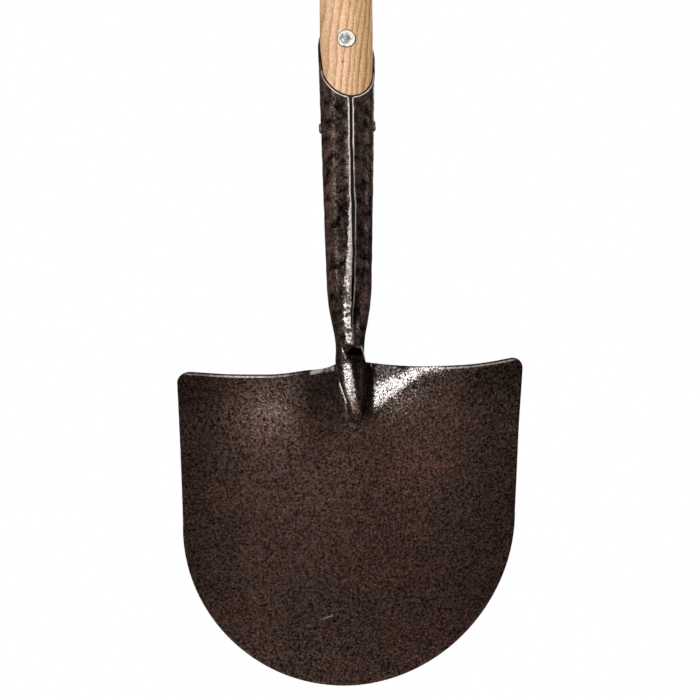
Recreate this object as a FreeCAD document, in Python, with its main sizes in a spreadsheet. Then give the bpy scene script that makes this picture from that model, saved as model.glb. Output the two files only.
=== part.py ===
import FreeCAD, Part
import math
import os
import re

import Sketcher

# Round point shovel, upright: the shaft stands on the Z axis, the face of the
# blade looks along -Y and the point hangs down. The origin is on the shaft's
# axis, where a rack clip grips it just above the socket. Millimetres.

DIMENSIONS = [
    # The frame: how far the blade's shoulder level hangs below the origin.
    ("shoulder_drop", 360.0),
    # Blade: a sheet dished both ways, wide shoulders, round point.
    ("blade_length", 246.5),
    ("blade_shoulder_width", 247.5),
    ("blade_thickness", 2.2),
    ("blade_trim_allowance", 12.0),
    ("blade_setback", 10.0),
    ("blade_lift_angle", 10.2),
    ("dish_radius", 320.0),
    ("belly_depth", 9.4),
    ("point_radius", 117.0),
    ("shoulder_corner_drop", 12.0),
    ("shoulder_corner_radius", 5.0),
    ("shoulder_mid_half_width", 60.0),
    ("shoulder_mid_drop", 8.8),
    ("shoulder_mid_radius", 150.0),
    ("shoulder_neck_half_width", 10.0),
    # Socket: a rolled cone with an open seam. Its mouth slants up from the front,
    # turns up steeply at each cheek, and slants back to the end of the tongue.
    ("wall_thickness", 1.6),
    ("neck_radius", 10.4),
    ("neck_height", 13.0),
    ("neck_foot", 6.0),
    ("waist_radius", 15.5),
    ("waist_height", 46.0),
    ("waist_bend_radius", 100.0),
    ("mouth_radius", 20.5),
    ("mouth_height", 225.0),
    ("mouth_front_height", 192.5),
    ("mouth_cheek_height", 214.5),
    ("mouth_cheek_offset", 5.4),
    ("mouth_cheek_radius", 8.0),
    ("tongue_foot_height", 229.2),
    ("tongue_foot_offset", -1.5),
    ("tongue_foot_radius", 12.0),
    ("tongue_height", 270.0),
    ("seam_gap", 1.4),
    ("seam_turn", 16.0),
    ("throat_floor_height", 3.0),
    ("throat_window_width", 11.0),
    ("throat_window_top", 12.0),
    # Ridge: the forged spine that runs from the neck down into the blade.
    ("ridge_shoulder_drop", 12.0),
    ("ridge_shoulder_radius", 11.0),
    ("ridge_shoulder_setback", 2.2),
    ("ridge_middle_drop", 30.0),
    ("ridge_middle_radius", 8.0),
    ("ridge_middle_setback", 8.2),
    ("ridge_tip_drop", 58.0),
    ("ridge_tip_radius", 1.5),
    ("ridge_tip_setback", 6.2),
    # Handle: a round ash shaft shaved to the socket's cone.
    ("shaft_radius", 19.0),
    ("shaft_shoulder_height", 280.0),
    ("shaft_taper_height", 620.0),
    ("shaft_top_radius", 17.0),
    ("shaft_top_height", 1200.0),
    ("shaft_top_rounding", 11.0),
    ("tenon_height", 56.0),
    # Cross rivet, left to right through the socket. A head's edge is rounded over
    # this share of its height.
    ("rivet_radius", 2.5),
    ("rivet_head_rounding", 0.8),
    ("side_rivet_height", 176.0),
    ("side_rivet_head_radius", 4.0),
    ("side_rivet_head_height", 1.9),
    ("side_rivet_seat", 18.9),
    # Strap rivet, back to front through the tongue and the wood.
    ("strap_rivet_height", 238.0),
    ("strap_rivet_turn", 6.3),
    ("strap_rivet_head_radius", 5.0),
    ("strap_rivet_head_height", 2.2),
    ("strap_rivet_seat", 20.2),
    ("strap_peen_radius", 3.5),
    ("strap_peen_height", 1.7),
    ("washer_radius", 6.7),
    ("washer_thickness", 1.2),
    ("washer_seat", 18.2),
    ("washer_seat_radius", 7.1),
]

doc = FreeCAD.newDocument("round_point_shovel")


def make_sheet():
    """Put every driving dimension in a cell of its own, with its name beside it."""
    sheet = doc.addObject("Spreadsheet::Sheet", "Dims")
    for row, (name, value) in enumerate(DIMENSIONS, start=1):
        sheet.set("A%d" % row, name)
        sheet.set("B%d" % row, str(value))
        sheet.setAlias("B%d" % row, name)
    doc.recompute()
    return sheet


sheet = make_sheet()
DIMENSION_NAMES = [name for name, value in DIMENSIONS]


def bound(text):
    """Turn a formula in plain dimension names into one that reads the sheet."""
    def place(match):
        word = match.group(0)
        return "Dims." + word if word in DIMENSION_NAMES else word
    return re.sub(r"[a-z_]+", place, text)


def value_of(text):
    """The number that a formula gives with the sheet as it stands."""
    return float(sheet.evalExpression(bound(text)))


# ---------------------------------------------------------------- sketch tools

def origin_plane(body, role):
    return [plane for plane in body.Origin.OriginFeatures if plane.Role == role][0]


def new_body(name):
    return doc.addObject("PartDesign::Body", name)


def new_sketch(body, name, role, offset=None):
    """A sketch on one of the body's origin planes, moved along its normal by a formula."""
    sketch = body.newObject("Sketcher::SketchObject", name)
    sketch.AttachmentSupport = [(origin_plane(body, role), "")]
    sketch.MapMode = "FlatFace"
    if offset is not None:
        sketch.setExpression(".AttachmentOffset.Base.z", bound(offset))
    return sketch


def set_radius(sketch, geometry, formula):
    """A driven radius on a circle or arc."""
    index = sketch.addConstraint(Sketcher.Constraint("Radius", geometry, value_of(formula)))
    sketch.setExpression("Constraints[%d]" % index, bound(formula))


def pin_along(sketch, kind, geometry, end, formula):
    """Hold one point of the sketch level with a formula, along X or along Y."""
    rule = Sketcher.Constraint(kind, -1, 1, geometry, end, value_of(formula))
    index = sketch.addConstraint(rule)
    sketch.setExpression("Constraints[%d]" % index, bound(formula))


def pin_point(sketch, geometry, end, across, up):
    """Hold one point of the sketch at two formulas."""
    pin_along(sketch, "DistanceX", geometry, end, across)
    pin_along(sketch, "DistanceY", geometry, end, up)


def rounded_ends(before, corner, after, radius):
    """Where an arc of this radius leaves and rejoins the two sides of a corner."""
    to_before = (before - corner).normalize()
    to_after = (after - corner).normalize()
    half_turn = to_before.getAngle(to_after) / 2
    reach = radius / math.tan(half_turn)
    middle = (to_before + to_after).normalize()
    centre = corner + middle * (radius / math.sin(half_turn))
    return corner + to_before * reach, corner + to_after * reach, centre


def arc_between(start, end, centre):
    """The shorter arc from start to end, and whether it runs the other way round."""
    angles = [math.atan2(p.y - centre.y, p.x - centre.x) for p in (start, end)]
    sweep = (angles[1] - angles[0]) % (2 * math.pi)
    backwards = sweep > math.pi
    first, last = (angles[1], angles[0]) if backwards else (angles[0], angles[1])
    circle = Part.Circle(centre, FreeCAD.Vector(0, 0, 1), (start - centre).Length)
    return Part.ArcOfCircle(circle, first, last), backwards


def corner_point(corner):
    return FreeCAD.Vector(value_of(corner[0]), value_of(corner[1]), 0)


def corner_ends(previous, corner, following):
    """Where the sides stop short of a corner, and the centre of the arc if it is rounded."""
    point = corner_point(corner)
    if len(corner) == 2:
        return point, point, None
    return rounded_ends(previous, point, following, value_of(corner[2]))


def join_sides(sketch, corner, before, after, ends):
    """Join two sides at a driven corner, sharp or rounded: (x, y) or (x, y, radius)."""
    if len(corner) == 2:
        sketch.addConstraint(Sketcher.Constraint("Coincident", before, 2, after, 1))
        pin_point(sketch, after, 1, corner[0], corner[1])
        return
    arc, backwards = arc_between(*ends)
    arc_id = sketch.addGeometry(arc, False)
    first, last = (2, 1) if backwards else (1, 2)
    sketch.addConstraint(Sketcher.Constraint("Tangent", before, 2, arc_id, first))
    sketch.addConstraint(Sketcher.Constraint("Tangent", after, 1, arc_id, last))
    set_radius(sketch, arc_id, corner[2])
    mark = sketch.addGeometry(Part.Point(corner_point(corner)), True)
    sketch.addConstraint(Sketcher.Constraint("PointOnObject", mark, 1, before))
    sketch.addConstraint(Sketcher.Constraint("PointOnObject", mark, 1, after))
    pin_point(sketch, mark, 1, corner[0], corner[1])


def draw_outline(sketch, corners):
    """A closed outline through driven corners, each sharp or rounded."""
    points = [corner_point(corner) for corner in corners]
    count = len(corners)
    ends = []
    for i, corner in enumerate(corners):
        ends.append(corner_ends(points[i - 1], corner, points[(i + 1) % count]))
    sides = []
    for i in range(count):
        side = Part.LineSegment(ends[i][1], ends[(i + 1) % count][0])
        sides.append(sketch.addGeometry(side, False))
    for i, corner in enumerate(corners):
        join_sides(sketch, corner, sides[i - 1], sides[i], ends[i])


def draw_circle(sketch, across, up, radius):
    centre = FreeCAD.Vector(value_of(across), value_of(up), 0)
    circle = Part.Circle(centre, FreeCAD.Vector(0, 0, 1), value_of(radius))
    circle_id = sketch.addGeometry(circle, False)
    set_radius(sketch, circle_id, radius)
    pin_point(sketch, circle_id, 3, across, up)


def revolve(body, sketch, name, axis="V_Axis"):
    feature = body.newObject("PartDesign::Revolution", name)
    feature.Profile = sketch
    feature.ReferenceAxis = (sketch, [axis])
    feature.Angle = 360.0
    return feature


LEAST_CUT = 0.1  # mm3: a cut that removes less than this has missed its body


def cut_through(body, sketch, name, both_ways=True, backwards=False):
    """Cut the sketch's area right through the body, and make sure that it does cut."""
    doc.recompute()
    before = body.Shape.Volume
    pocket = body.newObject("PartDesign::Pocket", name)
    pocket.Profile = sketch
    pocket.SideType = "Symmetric" if both_ways else "One side"
    pocket.Type = "ThroughAll"
    pocket.Reversed = backwards
    doc.recompute()
    if body.Shape.Volume >= before - LEAST_CUT:
        raise RuntimeError(name + " cuts nothing")
    return pocket


def stand_at_shoulder(feature, turn=None):
    """Hang a piece that is drawn from the shoulder level, turned about the shaft if need be."""
    feature.setExpression(".Placement.Base.z", bound("-1 * shoulder_drop"))
    if turn is not None:
        feature.Placement.Rotation = FreeCAD.Rotation(FreeCAD.Vector(0, 0, 1), 0.0)
        feature.setExpression(".Placement.Rotation.Angle", bound(turn))


# --------------------------------------------------------------- forged head

def make_blade():
    """The dished sheet: one arc across swept along another, trimmed to the outline."""
    body = new_body("blade_sheet")
    sweep_radius = "(blade_length ^ 2 / 4 + belly_depth ^ 2) / (2 * belly_depth)"
    half_width = "blade_shoulder_width / 2 + blade_trim_allowance"
    half_length = "blade_length / 2 + blade_trim_allowance"

    section = new_sketch(body, "dish_section", "XY_Plane", "-1 * blade_length / 2")
    centre = FreeCAD.Vector(0, value_of("belly_depth - dish_radius"), 0)
    arcs = []
    for side in ("+", "-"):
        formula = "dish_radius %s blade_thickness / 2" % side
        radius = value_of(formula)
        reach = math.asin(value_of(half_width) / radius)
        circle = Part.Circle(centre, FreeCAD.Vector(0, 0, 1), radius)
        arc = Part.ArcOfCircle(circle, math.pi / 2 - reach, math.pi / 2 + reach)
        arc_id = section.addGeometry(arc, False)
        set_radius(section, arc_id, formula)
        pin_point(section, arc_id, 3, "0", "belly_depth - dish_radius")
        arcs.append(arc_id)
    for end, sign in ((1, "1"), (2, "-1")):
        points = [section.getPoint(arc_id, end) for arc_id in arcs]
        cap = section.addGeometry(Part.LineSegment(points[0], points[1]), False)
        section.addConstraint(Sketcher.Constraint("Coincident", arcs[0], end, cap, 1))
        section.addConstraint(Sketcher.Constraint("Coincident", arcs[1], end, cap, 2))
        for cap_end in (1, 2):
            pin_along(section, "DistanceX", cap, cap_end, "%s * (%s)" % (sign, half_width))
    axis_up = "belly_depth - " + sweep_radius
    reach = value_of(half_width)
    axis_ends = [FreeCAD.Vector(across, value_of(axis_up), 0) for across in (-reach, reach)]
    axis_id = section.addGeometry(Part.LineSegment(*axis_ends), True)
    pin_point(section, axis_id, 1, "-1 * (%s)" % half_width, axis_up)
    pin_point(section, axis_id, 2, half_width, axis_up)

    sheet_metal = body.newObject("PartDesign::Revolution", "dished_sheet")
    sheet_metal.Profile = section
    sheet_metal.ReferenceAxis = (section, ["Axis0"])
    sheet_metal.Midplane = True
    sweep_angle = "2 * asin((%s) / (%s))" % (half_length, sweep_radius)
    sheet_metal.setExpression("Angle", bound(sweep_angle))

    outline = new_sketch(body, "blade_outline", "XZ_Plane")
    draw_blade_outline(outline)
    cut_through(body, outline, "trimmed_to_outline")

    lift = value_of("-1 * blade_lift_angle")
    body.Placement.Rotation = FreeCAD.Rotation(FreeCAD.Vector(1, 0, 0), lift)
    body.setExpression(".Placement.Rotation.Angle", bound("-1 * blade_lift_angle"))
    body.setExpression(".Placement.Base.y", bound("blade_setback"))
    body.setExpression(".Placement.Base.z", bound("-1 * shoulder_drop"))
    return body


def draw_blade_outline(outline):
    """The blade's outline as a hole in a larger frame, so that the frame is what is cut away."""
    reach = value_of("blade_shoulder_width")
    frame = [(-reach, reach), (reach, reach), (reach, -2 * reach), (-reach, -2 * reach)]
    for i, corner in enumerate(frame):
        start = FreeCAD.Vector(corner[0], corner[1], 0)
        end = FreeCAD.Vector(frame[(i + 1) % 4][0], frame[(i + 1) % 4][1], 0)
        edge = outline.addGeometry(Part.LineSegment(start, end), False)
        outline.addConstraint(Sketcher.Constraint("Block", edge))

    top = [
        ("-1 * blade_shoulder_width / 2", "-1 * shoulder_corner_drop", "shoulder_corner_radius"),
        ("-1 * shoulder_mid_half_width", "-1 * shoulder_mid_drop", "shoulder_mid_radius"),
        ("-1 * shoulder_neck_half_width", "0"),
        ("shoulder_neck_half_width", "0"),
        ("shoulder_mid_half_width", "-1 * shoulder_mid_drop", "shoulder_mid_radius"),
        ("blade_shoulder_width / 2", "-1 * shoulder_corner_drop", "shoulder_corner_radius"),
    ]
    centre = FreeCAD.Vector(0, value_of("point_radius - blade_length"), 0)
    radius = value_of("point_radius")
    away = corner_point(top[-1]) - centre
    side_angle = math.atan2(away.y, away.x) - math.acos(radius / away.Length)
    touch = centre + FreeCAD.Vector(math.cos(side_angle), math.sin(side_angle), 0) * radius
    mirrored = FreeCAD.Vector(-touch.x, touch.y, 0)

    path = [mirrored] + [corner_point(corner) for corner in top] + [touch]
    ends = [(mirrored, mirrored, None)]
    for i, corner in enumerate(top, start=1):
        ends.append(corner_ends(path[i - 1], corner, path[i + 1]))
    ends.append((touch, touch, None))
    sides = []
    for this_end, next_end in zip(ends, ends[1:]):
        side = Part.LineSegment(this_end[1], next_end[0])
        sides.append(outline.addGeometry(side, False))
    for i, corner in enumerate(top, start=1):
        join_sides(outline, corner, sides[i - 1], sides[i], ends[i])

    circle = Part.Circle(centre, FreeCAD.Vector(0, 0, 1), radius)
    bottom = Part.ArcOfCircle(circle, math.pi - side_angle, 2 * math.pi + side_angle)
    bottom_id = outline.addGeometry(bottom, False)
    set_radius(outline, bottom_id, "point_radius")
    pin_point(outline, bottom_id, 3, "0", "point_radius - blade_length")
    outline.addConstraint(Sketcher.Constraint("Tangent", sides[0], 1, bottom_id, 1))
    outline.addConstraint(Sketcher.Constraint("Tangent", sides[-1], 2, bottom_id, 2))


def make_ridge():
    """The solid neck foot and the spine that fades into the blade: a loft of circles."""
    body = new_body("neck_ridge")
    stations = [
        ("0", "neck_radius", "0"),
        ("ridge_shoulder_drop", "ridge_shoulder_radius", "ridge_shoulder_setback"),
        ("ridge_middle_drop", "ridge_middle_radius", "ridge_middle_setback"),
        ("ridge_tip_drop", "ridge_tip_radius", "ridge_tip_setback"),
    ]
    sketches = []
    for number, (drop, radius, setback) in enumerate(stations, start=1):
        sketch = new_sketch(body, "ridge_station_%d" % number, "XY_Plane", "-1 * " + drop)
        draw_circle(sketch, "0", setback, radius)
        sketches.append(sketch)
    loft = body.newObject("PartDesign::AdditiveLoft", "ridge_loft")
    loft.Profile = sketches[0]
    loft.Sections = sketches[1:]
    stand_at_shoulder(body)
    return body


def make_socket():
    """The rolled cone: wall, mouth with its tongue, seam and throat window."""
    body = new_body("rolled_socket")
    wall = new_sketch(body, "wall_section", "XZ_Plane")
    draw_outline(wall, [
        ("0", "-1 * neck_foot"),
        ("neck_radius", "-1 * neck_foot"),
        ("neck_radius", "neck_height", "waist_bend_radius"),
        ("waist_radius", "waist_height", "waist_bend_radius"),
        ("mouth_radius", "mouth_height"),
        ("mouth_radius", "tongue_height + wall_thickness"),
        ("mouth_radius - wall_thickness", "tongue_height + wall_thickness"),
        ("mouth_radius - wall_thickness", "mouth_height"),
        ("waist_radius - wall_thickness", "waist_height", "waist_bend_radius"),
        ("neck_radius - wall_thickness", "neck_height", "waist_bend_radius"),
        ("neck_radius - wall_thickness", "throat_floor_height"),
        ("0", "throat_floor_height"),
    ])
    revolve(body, wall, "wall")

    mouth = new_sketch(body, "mouth_slant", "YZ_Plane")
    draw_outline(mouth, [
        ("-2 * mouth_radius", "mouth_front_height"),
        ("-1 * mouth_radius", "mouth_front_height"),
        ("-1 * mouth_cheek_offset", "mouth_cheek_height", "mouth_cheek_radius"),
        ("tongue_foot_offset", "tongue_foot_height", "tongue_foot_radius"),
        ("mouth_radius", "tongue_height"),
        ("2 * mouth_radius", "tongue_height"),
        ("2 * mouth_radius", "2 * tongue_height"),
        ("-2 * mouth_radius", "2 * tongue_height"),
    ])
    cut_through(body, mouth, "slanted_mouth")

    seam = new_sketch(body, "seam_slit", "XZ_Plane")
    draw_outline(seam, [
        ("-1 * seam_gap / 2", "throat_floor_height"),
        ("seam_gap / 2", "throat_floor_height"),
        ("seam_gap / 2", "2 * mouth_height"),
        ("-1 * seam_gap / 2", "2 * mouth_height"),
    ])
    cut_through(body, seam, "open_seam", both_ways=False, backwards=True)

    window = new_sketch(body, "throat_window", "XZ_Plane")
    draw_outline(window, [
        ("-1 * throat_window_width / 2", "throat_floor_height"),
        ("throat_window_width / 2", "throat_floor_height"),
        ("throat_window_width / 2", "throat_window_top"),
        ("-1 * throat_window_width / 2", "throat_window_top"),
    ])
    cut_through(body, window, "open_throat", both_ways=False, backwards=True)
    stand_at_shoulder(body, "seam_turn")
    return body


# The line of each rivet: which way its head end points, as a turn about the shaft from +X.
SIDE_RIVET_TURN = "0"
STRAP_RIVET_TURN = "strap_rivet_turn + 90"


def lay_along(feature, turn, start, height):
    """Lay a piece drawn along +Z on a level line through the shaft, starting so far along it."""
    angle = value_of(turn)
    along = FreeCAD.Rotation(FreeCAD.Vector(0, 0, 1), angle)
    feature.Placement.Rotation = along.multiply(FreeCAD.Rotation(FreeCAD.Vector(0, 1, 0), 90.0))
    feature.setExpression(".Placement.Base.x", bound("(%s) * cos(%s)" % (start, turn)))
    feature.setExpression(".Placement.Base.y", bound("(%s) * sin(%s)" % (start, turn)))
    feature.setExpression(".Placement.Base.z", bound("%s - shoulder_drop" % height))


def make_drill(name, radius, start, length, turn, height):
    """A cylinder that cuts a rivet hole or a flat seat along a rivet's line."""
    drill = doc.addObject("Part::Cylinder", name)
    drill.setExpression("Radius", bound(radius))
    drill.setExpression("Height", bound(length))
    lay_along(drill, turn, start, height)
    return drill


def cut_away(base, tools, name):
    """The base with several tools cut out of it."""
    joined = doc.addObject("Part::MultiFuse", name + "_tools")
    joined.Shapes = tools
    cut = doc.addObject("Part::Cut", name)
    cut.Base = base
    cut.Tool = joined
    return cut


def make_head():
    """Blade, ridge and socket are one forging; the rivet holes and their flat seats are cut in it."""
    forging = doc.addObject("Part::MultiFuse", "forging")
    forging.Shapes = [make_blade(), make_ridge(), make_socket()]
    forging.Refine = True
    far = "2 * mouth_radius"
    tools = [
        make_drill("side_hole", "rivet_radius", "-1 * mouth_radius", far, SIDE_RIVET_TURN,
                   "side_rivet_height"),
        make_drill("side_seat_right", "side_rivet_head_radius", "side_rivet_seat", "mouth_radius",
                   SIDE_RIVET_TURN, "side_rivet_height"),
        make_drill("side_seat_left", "side_rivet_head_radius", "-1 * side_rivet_seat - mouth_radius",
                   "mouth_radius", SIDE_RIVET_TURN, "side_rivet_height"),
        make_drill("strap_hole", "rivet_radius", "0", far, STRAP_RIVET_TURN, "strap_rivet_height"),
        make_drill("strap_seat", "strap_rivet_head_radius", "strap_rivet_seat", "mouth_radius",
                   STRAP_RIVET_TURN, "strap_rivet_height"),
    ]
    head = cut_away(forging, tools, "drilled_forging")
    head.Label = "forged_head"
    return head


# ------------------------------------------------------------ handle and rivets

def make_handle():
    """The ash shaft, shaved to the socket's cone at its foot and drilled for both rivets."""
    body = new_body("turned_shaft")
    profile = new_sketch(body, "shaft_profile", "XZ_Plane")
    cone = "((mouth_radius - waist_radius) / (mouth_height - waist_height))"
    foot_radius = "waist_radius - wall_thickness + (tenon_height - waist_height) * " + cone
    draw_outline(profile, [
        ("0", "tenon_height"),
        (foot_radius, "tenon_height"),
        ("mouth_radius - wall_thickness", "mouth_height"),
        ("mouth_radius - wall_thickness", "tongue_height"),
        ("shaft_radius", "shaft_shoulder_height"),
        ("shaft_radius", "shaft_taper_height"),
        ("shaft_top_radius", "shaft_top_height", "shaft_top_rounding"),
        ("0", "shaft_top_height"),
    ])
    revolve(body, profile, "shaft")
    stand_at_shoulder(body)
    width = "2 * mouth_radius"
    tools = [
        make_drill("shaft_side_hole", "rivet_radius", "-1 * mouth_radius", width, SIDE_RIVET_TURN,
                   "side_rivet_height"),
        make_drill("shaft_strap_hole", "rivet_radius", "-1 * mouth_radius", width, STRAP_RIVET_TURN,
                   "strap_rivet_height"),
        make_drill("washer_spot", "washer_seat_radius", "-1 * washer_seat - mouth_radius",
                   "mouth_radius", STRAP_RIVET_TURN, "strap_rivet_height"),
    ]
    handle = cut_away(body, tools, "drilled_shaft")
    handle.Label = "ash_handle"
    return handle


def make_rivet(name, grip, far_radius, far_height, near_radius, near_height):
    """A rivet standing on Z: a low round head at each end of a plain shank of this grip."""
    body = new_body(name)
    profile = new_sketch(body, name + "_profile", "XZ_Plane")
    draw_outline(profile, [
        ("0", "-1 * " + near_height),
        (near_radius, "-1 * " + near_height, near_height + " * rivet_head_rounding"),
        (near_radius, "0"),
        ("rivet_radius", "0"),
        ("rivet_radius", grip),
        (far_radius, grip),
        (far_radius, "%s + %s" % (grip, far_height), far_height + " * rivet_head_rounding"),
        ("0", "%s + %s" % (grip, far_height)),
    ])
    revolve(body, profile, name + "_solid")
    return body


def make_side_rivet():
    """The cross rivet, headed alike on both sides of the socket."""
    rivet = make_rivet("side_rivet", "2 * side_rivet_seat", "side_rivet_head_radius",
                       "side_rivet_head_height", "side_rivet_head_radius",
                       "side_rivet_head_height")
    lay_along(rivet, SIDE_RIVET_TURN, "-1 * side_rivet_seat", "side_rivet_height")
    return rivet


def make_strap_rivet():
    """The strap rivet: head on the tongue behind, end peened over the washer in front."""
    grip = "washer_seat + washer_thickness + strap_rivet_seat"
    rivet = make_rivet("strap_rivet", grip, "strap_rivet_head_radius", "strap_rivet_head_height",
                       "strap_peen_radius", "strap_peen_height")
    lay_along(rivet, STRAP_RIVET_TURN, "-1 * washer_seat - washer_thickness",
              "strap_rivet_height")
    return rivet


def make_washer():
    """The round washer under the peened end, let into the wood."""
    body = new_body("strap_washer")
    face = new_sketch(body, "washer_face", "XY_Plane")
    draw_circle(face, "0", "0", "washer_radius")
    draw_circle(face, "0", "0", "rivet_radius")
    pad = body.newObject("PartDesign::Pad", "washer_disc")
    pad.Profile = face
    pad.setExpression("Length", bound("washer_thickness"))
    lay_along(body, STRAP_RIVET_TURN, "-1 * washer_seat - washer_thickness", "strap_rivet_height")
    return body


# ---------------------------------------------------------------------- write

def check_document(pieces):
    for item in doc.Objects:
        if "Invalid" in item.State or "Error" in item.State:
            raise RuntimeError("%s is %s" % (item.Name, item.State))
    for piece in pieces:
        shape = piece.Shape
        if shape.isNull() or not shape.isValid():
            raise RuntimeError(piece.Label + " has no valid shape")
        if len(shape.Solids) != 1:
            raise RuntimeError("%s has %d solids" % (piece.Label, len(shape.Solids)))


def main():
    pieces = [make_head(), make_handle(), make_side_rivet(), make_strap_rivet(), make_washer()]
    doc.recompute()
    check_document(pieces)
    os.makedirs("parts", exist_ok=True)
    for piece in pieces:
        piece.Shape.exportStep("parts/%s.step" % piece.Label)
        box = piece.Shape.BoundBox
        size = (box.XLength, box.YLength, box.ZLength)
        print("%-14s %9.0f mm3  %7.1f x %7.1f x %7.1f mm" % ((piece.Label, piece.Shape.Volume) + size))


main()
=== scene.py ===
import math

import bpy
import numpy as np
import openvdb
from mathutils import Matrix, Vector


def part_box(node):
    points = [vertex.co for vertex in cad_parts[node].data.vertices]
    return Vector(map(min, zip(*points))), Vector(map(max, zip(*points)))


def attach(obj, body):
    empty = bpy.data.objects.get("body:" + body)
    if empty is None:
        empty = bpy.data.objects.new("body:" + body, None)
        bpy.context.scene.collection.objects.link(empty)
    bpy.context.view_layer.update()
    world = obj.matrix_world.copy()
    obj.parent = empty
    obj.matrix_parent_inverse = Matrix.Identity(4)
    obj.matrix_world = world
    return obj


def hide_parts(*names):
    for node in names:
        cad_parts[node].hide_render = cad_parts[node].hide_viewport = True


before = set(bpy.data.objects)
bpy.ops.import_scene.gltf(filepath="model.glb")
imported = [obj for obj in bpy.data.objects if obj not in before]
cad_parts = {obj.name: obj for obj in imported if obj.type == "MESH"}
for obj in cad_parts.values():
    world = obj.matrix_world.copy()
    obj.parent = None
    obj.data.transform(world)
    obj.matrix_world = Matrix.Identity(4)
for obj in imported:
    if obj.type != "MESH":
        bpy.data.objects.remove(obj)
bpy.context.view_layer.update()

# The pieces are worked out in millimetres from the shoulder level, where the neck meets
# the blade. Lengths inside a material and on the stage are in metres unless a comment
# says otherwise.
MM = 0.001

HEAD_LOW, HEAD_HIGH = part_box("forged_head")
TONGUE_TOP = 270.0
SHOULDER_Z = HEAD_HIGH.z / MM - TONGUE_TOP

# Blade
BLADE_LIFT = math.radians(10.24)
BLADE_SETBACK = 10.0
BLADE_LENGTH = 246.8
BLADE_THICKNESS = 2.2
DISH_RADIUS = 320.0
BELLY_DEPTH = 9.44
SHOULDER_HALF = 123.6
FLANK_HALF = 116.6
FLANK_END = 126.2
CORNER_ROUNDING = 9.5
CORNER_DEPTH = 12.0
RIM_ROUNDING = 0.8
TOP_AT_NECK = -1.5
HOLLOW_SLOPE = 0.22
HOLLOW_LIMIT = 9.0

# Neck and socket; the seam's turn from the front is in degrees
WALL = 1.7
WALL_EDGE_ROUNDING = 0.7
WALL_FOOT = -3.0
NECK_RADIUS = 10.2
NECK_TOP = -2.0
NECK_FOOT = -6.0
MOUTH_RADIUS = 20.5
MOUTH_CORNER_ROUNDING = 1.8
SEAM_GAP = 2.3
SEAM_TURN = 15.0
# Offset behind the axis, height there and slope of each run of the mouth's edge.
MOUTH_SLOPES = ((-20.5, 192.5, 1.42), (-5.4, 214.5, 3.8), (7.0, 245.0, 1.85))

# The pocket at the seam's foot: its turn from the front in degrees, then its place and shape
THROAT_TURN = 27.0
THROAT_SHIFT = 1.7
THROAT_HALF_WIDTH = 6.6
THROAT_HALF_HEIGHT = 5.1
THROAT_SQUARENESS = 3.2

# Rivets and washer: heights, the strap rivet's turn from the front in degrees, and how
# far its washer and its rear head stand from the axis
SIDE_RIVET_RISE = 176.0
STRAP_RIVET_RISE = 238.0
STRAP_RIVET_TURN = 6.3
RIVET_HOLE_RADIUS = 2.4
WASHER_FACE = 19.7
STRAP_RIVET_SEAT = 20.2
RIVET_RADIUS = 2.5
RIVET_HEAD_RADIUS = 5.0
RIVET_HEAD_RISE = 2.2
PEEN_RADIUS = 3.15
PEEN_RISE = 1.3
PEEN_SHIFT = 1.0
WASHER_HOLE_RADIUS = 2.6
WASHER_DEPTH = 1.2

# Shaft
SHAFT_FOOT = 56.0
SHAFT_END = 1200.0
SHAFT_ROUNDING = 11.0
SHAFT_RADIUS = 19.0
SHAFT_FOOT_RADIUS = 19.6
SHAFT_TAPER = 2.0
SHAFT_MOUTH_RADIUS = 18.4
SHAFT_STEPS = 160
SPOT_FACE = 18.4
SPOT_RADIUS = 7.0
DRILL_RADIUS = 2.5
DRILL_REACH = 30.0

# How finely the forging is meshed, and how many triangles it keeps
VOXEL = 0.8
FACE_LIMIT = 190000


# ------------------------------------------------------------------ smooth shapes

def smooth_min(a, b, reach):
    """The lower of two distances, with a fillet of about this size where they meet."""
    gap = np.maximum(reach - np.abs(a - b), 0.0) / reach
    return np.minimum(a, b) - gap * gap * reach / 4


def smooth_max(a, b, reach):
    return -smooth_min(-a, -b, reach)


def round_both(a, b, radius):
    """The inside of both a and b, with their shared edge rounded to this radius."""
    inside = np.minimum(np.maximum(a, b), -radius)
    return inside + np.hypot(np.maximum(a + radius, 0.0), np.maximum(b + radius, 0.0))


def bump(x, middle, width):
    return np.exp(-((x - middle) / width) ** 2)


def ease(x, low, high):
    """Rises smoothly from 0 at low to 1 at high."""
    part = np.clip((x - low) / (high - low), 0.0, 1.0)
    return part * part * (3 - 2 * part)


def waves(count, longest, shortest, seed):
    """Random plane waves for a hand-worked surface: directions, rates and phases."""
    rng = np.random.default_rng(seed)
    lengths = np.exp(rng.uniform(math.log(shortest), math.log(longest), count))
    directions = rng.normal(size=(count, 3))
    directions /= np.linalg.norm(directions, axis=1)[:, None]
    return directions * (2 * math.pi / lengths)[:, None], rng.uniform(0, 2 * math.pi, count)


BROAD_WAVES = waves(9, 110.0, 45.0, 11)
HAMMER_WAVES = waves(14, 26.0, 10.0, 12)


def unevenness(x, y, z, table):
    """A smooth random height between about -1 and 1."""
    rates, phases = table
    total = np.zeros(np.broadcast(x, y, z).shape, np.float32)
    for rate, phase in zip(rates, phases):
        total += np.sin(x * rate[0] + y * rate[1] + z * rate[2] + phase).astype(np.float32)
    return total / math.sqrt(len(phases) * 2.0)


# ------------------------------------------------------------------ the forging

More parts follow.
